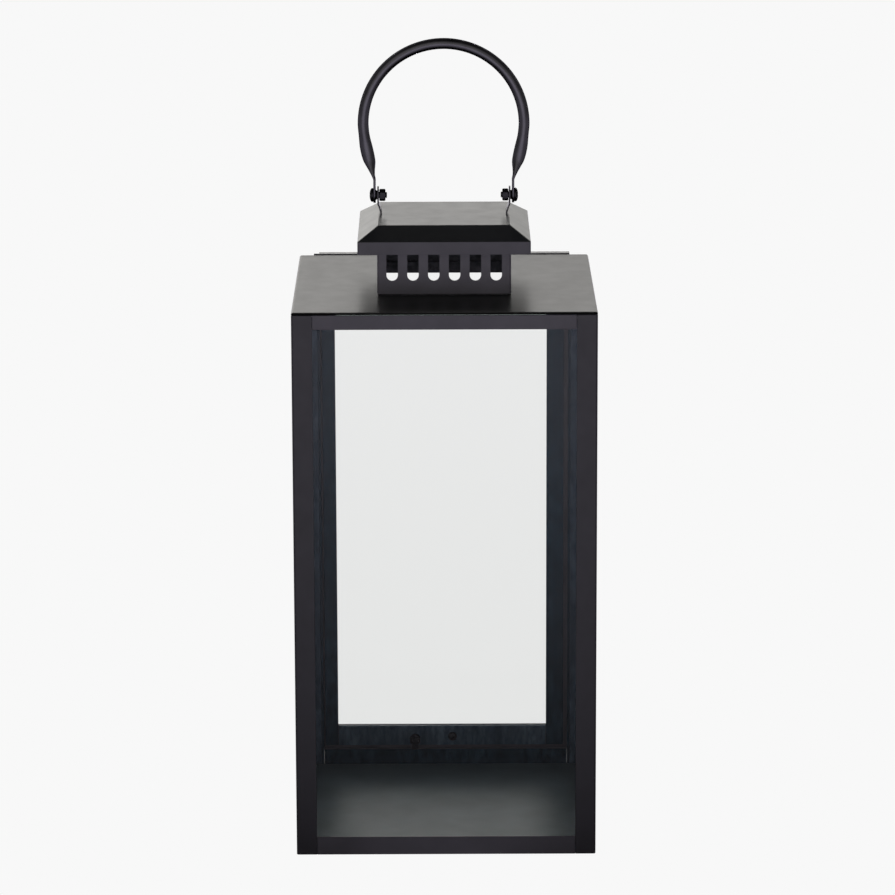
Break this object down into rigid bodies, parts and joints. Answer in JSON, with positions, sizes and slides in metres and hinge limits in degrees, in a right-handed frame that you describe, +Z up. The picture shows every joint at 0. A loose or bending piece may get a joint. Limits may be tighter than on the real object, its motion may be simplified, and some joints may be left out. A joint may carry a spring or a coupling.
{
  "type": "candle lantern",
  "caption": "Square black metal lantern with glass sides, slotted chimney under a hipped cap, folding bail handle and a hinged rear door with a turn latch.",
  "frame": {"origin": "centre of the square footprint, on the surface the lantern stands on", "axes": "+Z up, -Y towards the front, the door at the rear (+Y), its hinges on the -X side"},
  "size_m": [0.196, 0.2111, 0.5249],
  "materials": {
    "powder_coat": "satin black powder coat",
    "roof_enamel": "smooth semi-gloss black enamel",
    "black_fastener": "black coated steel fastener",
    "clear_glass": "clear, faint green edge"
  },
  "bodies": {
    "frame": {"front_left_post": "powder_coat", "front_right_post": "powder_coat", "rear_left_post": "powder_coat", "rear_right_post": "powder_coat", "front_bottom_rail": "powder_coat", "front_top_rail": "powder_coat", "rear_bottom_rail": "powder_coat", "rear_top_rail": "powder_coat", "left_bottom_rail": "powder_coat", "left_top_rail": "powder_coat", "right_bottom_rail": "powder_coat", "right_top_rail": "powder_coat", "floor_plate": "roof_enamel", "roof_plate": "roof_enamel", "chimney_front": "powder_coat", "chimney_rear": "powder_coat", "chimney_left": "powder_coat", "chimney_right": "powder_coat", "cap": "roof_enamel", "left_lug": "powder_coat", "right_lug": "powder_coat", "left_pivot_screw": "black_fastener", "right_pivot_screw": "black_fastener", "left_pivot_nut": "black_fastener", "right_pivot_nut": "black_fastener", "front_glass": "clear_glass", "left_glass": "clear_glass", "right_glass": "clear_glass", "front_left_glass_strip": "powder_coat", "front_right_glass_strip": "powder_coat", "rear_left_glass_strip": "powder_coat", "rear_right_glass_strip": "powder_coat", "lower_hinge_frame_leaf": "powder_coat", "lower_hinge_pin": "black_fastener", "upper_hinge_frame_leaf": "powder_coat", "upper_hinge_pin": "black_fastener"},
    "bail": {"bail_handle": "powder_coat"},
    "door": {"door_plate": "powder_coat", "door_liner_left": "powder_coat", "door_liner_right": "powder_coat", "door_liner_bottom": "powder_coat", "door_liner_top": "powder_coat", "door_glass": "clear_glass", "lower_hinge_door_leaf": "powder_coat", "upper_hinge_door_leaf": "powder_coat", "pull_knob": "black_fastener", "knob_screw": "black_fastener"},
    "latch": {"latch_thumb_turn": "black_fastener", "latch_tongue": "black_fastener", "latch_nut": "black_fastener"}
  },
  "joints": [
    {"name": "bail_swing", "type": "hinge", "parent": "frame", "child": "bail", "pos_m": [0, 0, 0.4215], "axis": [1, 0, 0], "range_deg": [-96, 96]},
    {"name": "door_swing", "type": "hinge", "parent": "frame", "child": "door", "pos_m": [-0.0915, 0.1005, 0.2], "axis": [0, 0, 1], "range_deg": [0, 160]},
    {"name": "latch_turn", "type": "hinge", "parent": "door", "child": "latch", "pos_m": [-0.0211, 0.0983, 0.0205], "axis": [0, 1, 0], "range_deg": [0, 90]}
  ]
}
